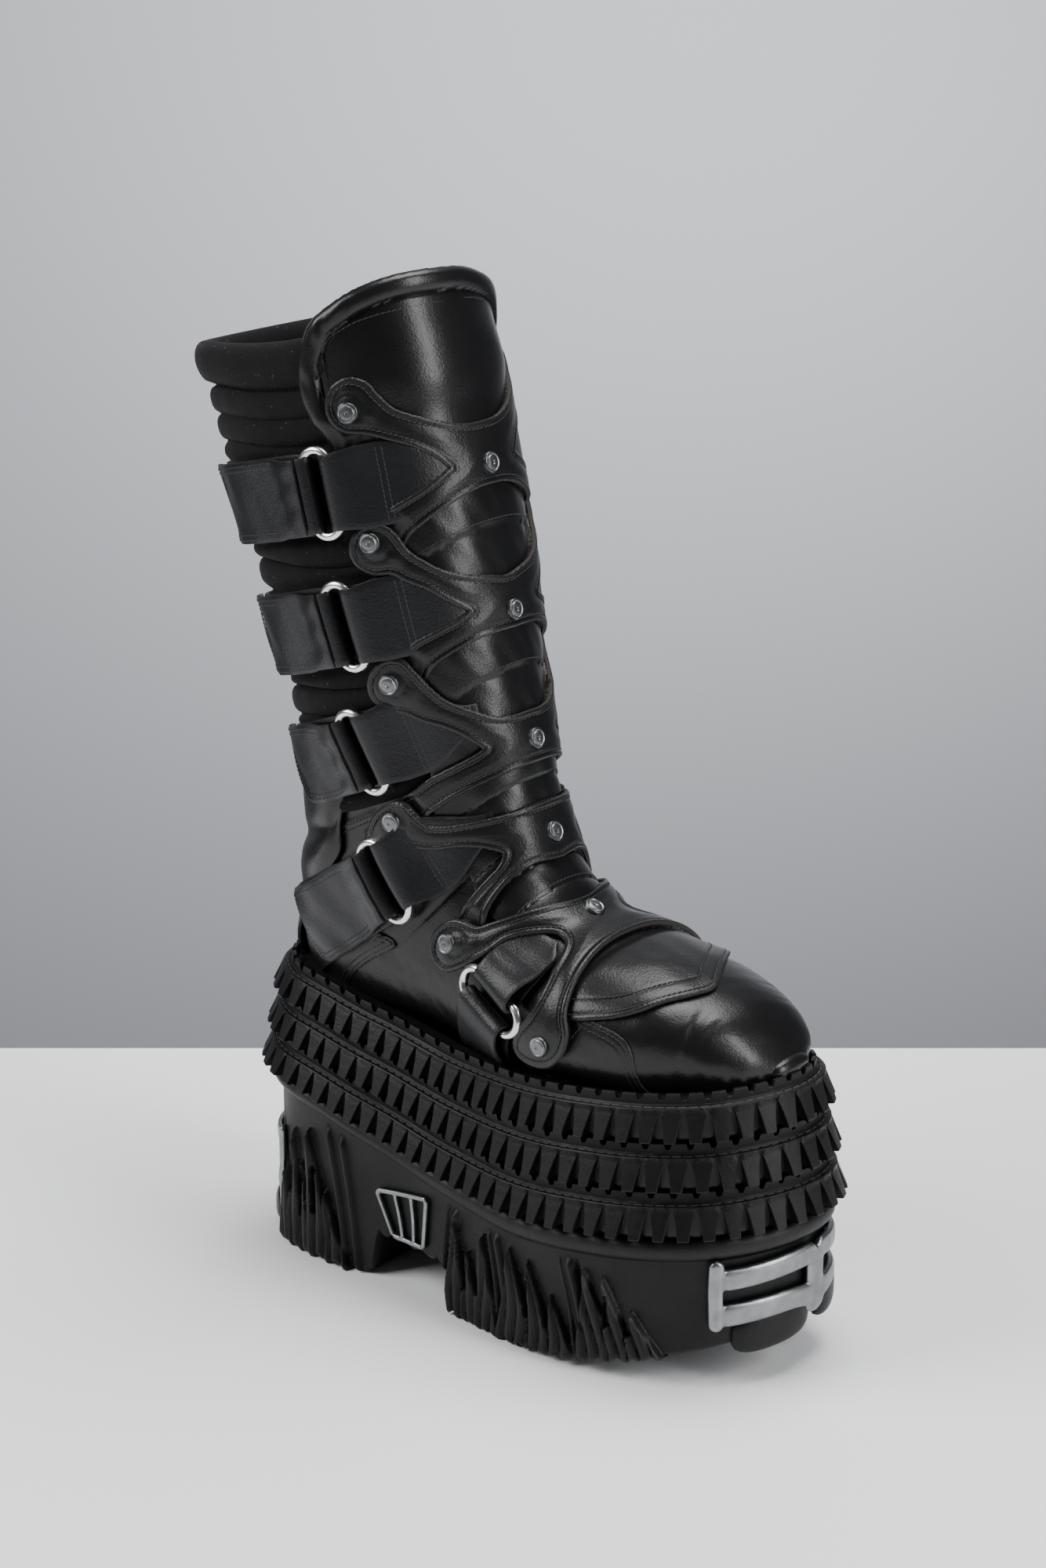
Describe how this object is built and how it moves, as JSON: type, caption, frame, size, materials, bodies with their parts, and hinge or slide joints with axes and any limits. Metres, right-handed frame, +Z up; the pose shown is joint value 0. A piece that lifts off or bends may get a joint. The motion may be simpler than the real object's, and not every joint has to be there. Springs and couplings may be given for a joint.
{
  "type": "tall platform boot",
  "caption": "Knee-high platform boot with a saddle harness, hook-and-loop straps through metal rings, a ribbed padded collar and a toothed stacked sole.",
  "frame": {"origin": "centre of the boot's box in plan, on the ground", "axes": "+X to the toe, +Y to the inner side of the leg, +Z up the leg"},
  "size_m": [0.3588, 0.1472, 0.5082],
  "materials": {
    "black_leather": "satin, fine grain",
    "soft_leather": "satin, creased",
    "black_rubber": "matt, moulded teeth",
    "neoprene": "matt knit over foam",
    "nickel": "bright nickel",
    "antique_silver": "antique silver, worn",
    "hook_tape": "woven hook tape",
    "board": "pressed board"
  },
  "bodies": {
    "boot": {"back_stay": "black_leather", "footbed": "neoprene", "harness_1": "black_leather", "harness_2": "black_leather", "harness_3": "black_leather", "harness_4": "black_leather", "harness_5": "black_leather", "harness_rivets_front": "antique_silver", "harness_rivets_inner": "antique_silver", "harness_rivets_outer": "antique_silver", "heel_counter": "black_leather", "heel_guard": "antique_silver", "heel_pad_inner": "black_rubber", "heel_pad_outer": "black_rubber", "insole_board": "board", "liner": "neoprene", "loop_patches": "hook_tape", "midsole_lower": "black_rubber", "midsole_middle": "black_rubber", "midsole_upper": "black_rubber", "outsole": "black_rubber", "quarter_inner": "black_leather", "quarter_outer": "black_leather", "ribbed_panel": "neoprene", "ring_5": "nickel", "rings_inner": "nickel", "shin_shield": "black_leather", "side_badge_inner": "antique_silver", "side_badge_outer": "antique_silver", "sole_strap_inner": "soft_leather", "sole_strap_outer": "soft_leather", "strap_base_1": "soft_leather", "strap_base_2": "soft_leather", "strap_base_3": "soft_leather", "strap_base_4": "soft_leather", "strap_tab_1": "soft_leather", "strap_tab_2": "soft_leather", "strap_tab_3": "soft_leather", "strap_tab_4": "soft_leather", "strap_tab_5": "soft_leather", "strap_tabs_inner": "soft_leather", "toe_guard": "antique_silver", "toe_pad_inner": "black_rubber", "toe_pad_outer": "black_rubber", "tongue": "black_leather", "tongue_flap": "black_leather", "vamp": "black_leather"},
    "strap_flap_1": {"strap_end_1": "soft_leather", "hook_patch_1": "hook_tape"},
    "ring_link_1": {"ring_1": "nickel"},
    "strap_flap_2": {"strap_end_2": "soft_leather", "hook_patch_2": "hook_tape"},
    "ring_link_2": {"ring_2": "nickel"},
    "strap_flap_3": {"strap_end_3": "soft_leather", "hook_patch_3": "hook_tape"},
    "ring_link_3": {"ring_3": "nickel"},
    "strap_flap_4": {"strap_end_4": "soft_leather", "hook_patch_4": "hook_tape"},
    "ring_link_4": {"ring_4": "nickel"}
  },
  "joints": [
    {"name": "strap_peel_1", "type": "hinge", "parent": "boot", "child": "strap_flap_1", "pos_m": [-0.07894, -0.068, 0.40442], "axis": [-0.2411, -0.0232, 0.9702], "range_deg": [0, 110]},
    {"name": "ring_play_1", "type": "hinge", "parent": "boot", "child": "ring_link_1", "pos_m": [-0.06393, -0.06059, 0.40833], "axis": [-0.2411, -0.0232, 0.9702], "range_deg": [-2, 2]},
    {"name": "strap_peel_2", "type": "hinge", "parent": "boot", "child": "strap_flap_2", "pos_m": [-0.06766, -0.06468, 0.33961], "axis": [-0.2782, -0.0864, 0.9566], "range_deg": [0, 110]},
    {"name": "ring_play_2", "type": "hinge", "parent": "boot", "child": "ring_link_2", "pos_m": [-0.05255, -0.05817, 0.34459], "axis": [-0.2782, -0.0864, 0.9566], "range_deg": [-2, 2]},
    {"name": "strap_peel_3", "type": "hinge", "parent": "boot", "child": "strap_flap_3", "pos_m": [-0.06363, -0.05741, 0.27458], "axis": [-0.3842, -0.1537, 0.9103], "range_deg": [0, 90]},
    {"name": "ring_play_3", "type": "hinge", "parent": "boot", "child": "ring_link_3", "pos_m": [-0.04879, -0.05247, 0.28168], "axis": [-0.3842, -0.1537, 0.9103], "range_deg": [-2, 2]},
    {"name": "strap_peel_4", "type": "hinge", "parent": "boot", "child": "strap_flap_4", "pos_m": [-0.05351, -0.05308, 0.2081], "axis": [-0.5785, -0.0215, 0.8154], "range_deg": [0, 90]},
    {"name": "ring_play_4", "type": "hinge", "parent": "boot", "child": "ring_link_4", "pos_m": [-0.04016, -0.0481, 0.2177], "axis": [-0.5785, -0.0215, 0.8154], "range_deg": [-2, 2]}
  ]
}
